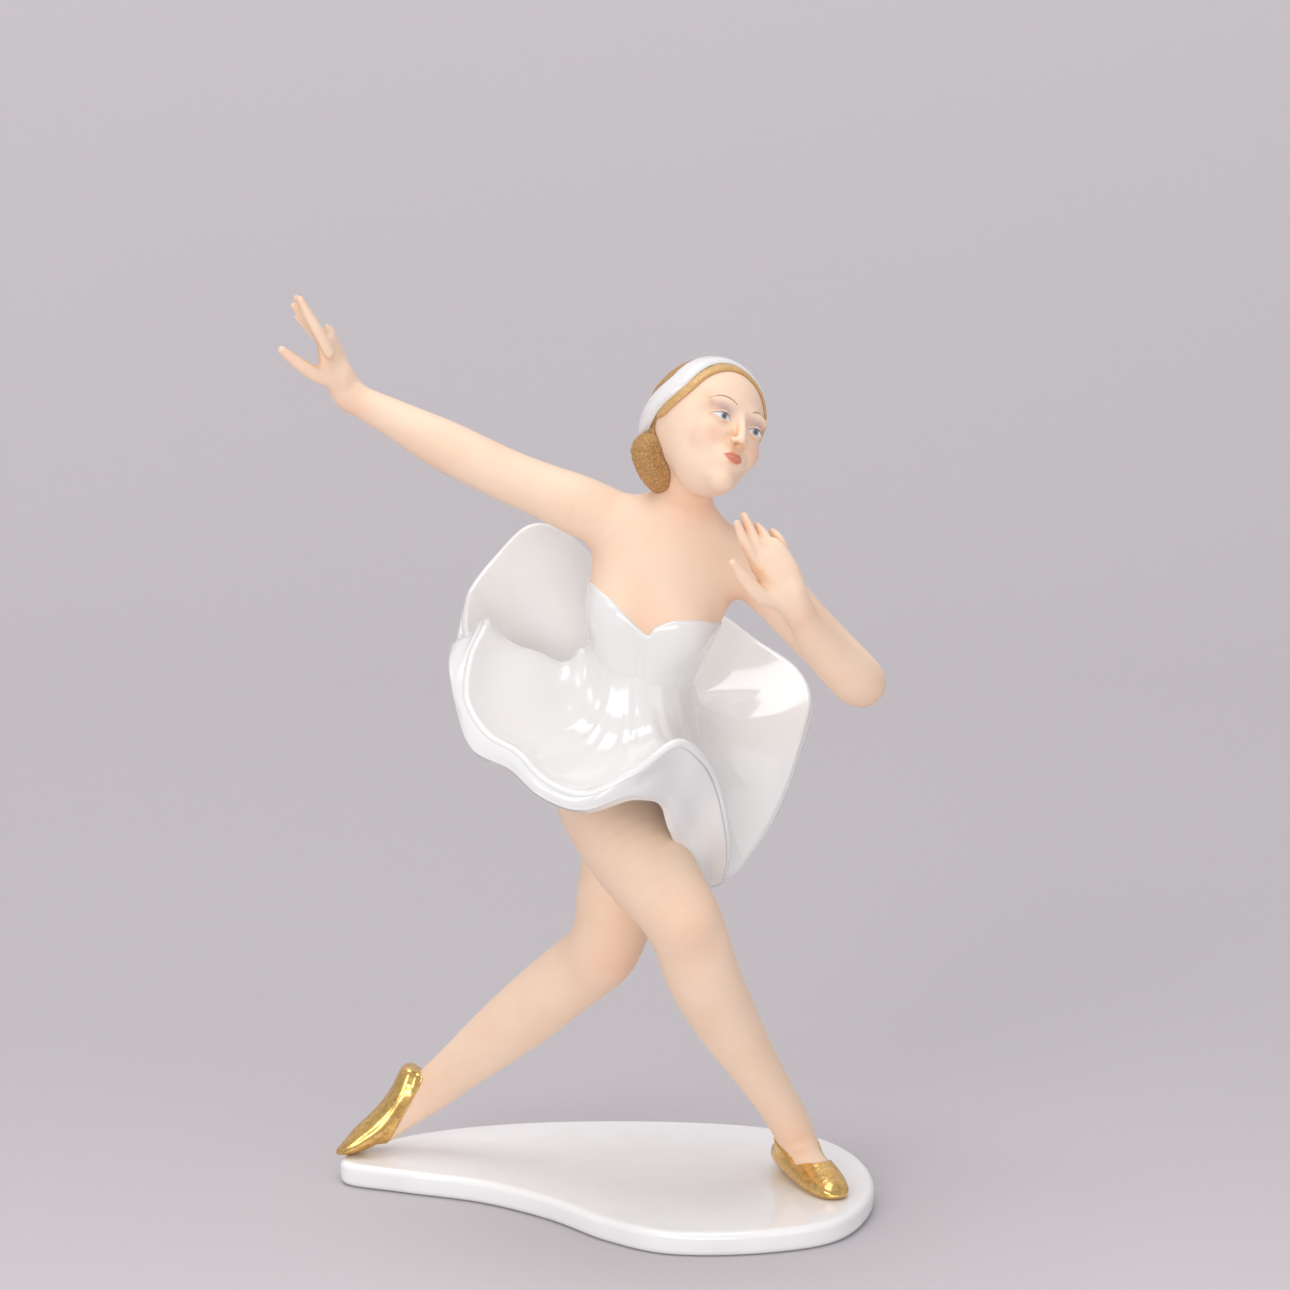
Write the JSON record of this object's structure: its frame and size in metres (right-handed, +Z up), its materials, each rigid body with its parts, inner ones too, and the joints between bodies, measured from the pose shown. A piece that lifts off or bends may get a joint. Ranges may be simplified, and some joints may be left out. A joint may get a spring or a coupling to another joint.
{
  "type": "porcelain ballerina figurine",
  "caption": "Porcelain ballerina figurine in a deep crossing step, an arm raised and the other bent, with a wavy skirt, headband and gilt slippers, on a flat kidney-shaped base.",
  "frame": {"origin": "middle of the underside of the base, on the surface that the figurine stands on", "axes": "+Z up, -Y the side that the figure faces, +X towards the figure's left hand"},
  "size_m": [0.1313, 0.0779, 0.2013],
  "materials": {
    "glaze_white": "glossy clear-glazed white porcelain",
    "bisque_skin": "matt painted porcelain",
    "burnished_gold": "burnished gold decoration over porcelain",
    "hair_paint": "stippled gold-brown paint over porcelain"
  },
  "bodies": {
    "root": {"base_plate": "glaze_white", "front_leg": "bisque_skin", "rear_leg": "bisque_skin", "front_shoe": "burnished_gold", "rear_shoe": "burnished_gold", "pelvis": "glaze_white", "bodice": "glaze_white", "torso": "bisque_skin", "skirt_upper": "glaze_white", "skirt_lower": "glaze_white", "head": "bisque_skin", "hair_back": "hair_paint", "hair_fringe": "hair_paint", "headband": "glaze_white", "raised_arm": "bisque_skin", "raised_hand": "bisque_skin", "bent_arm": "bisque_skin", "bent_hand": "bisque_skin"}
  },
  "joints": []
}
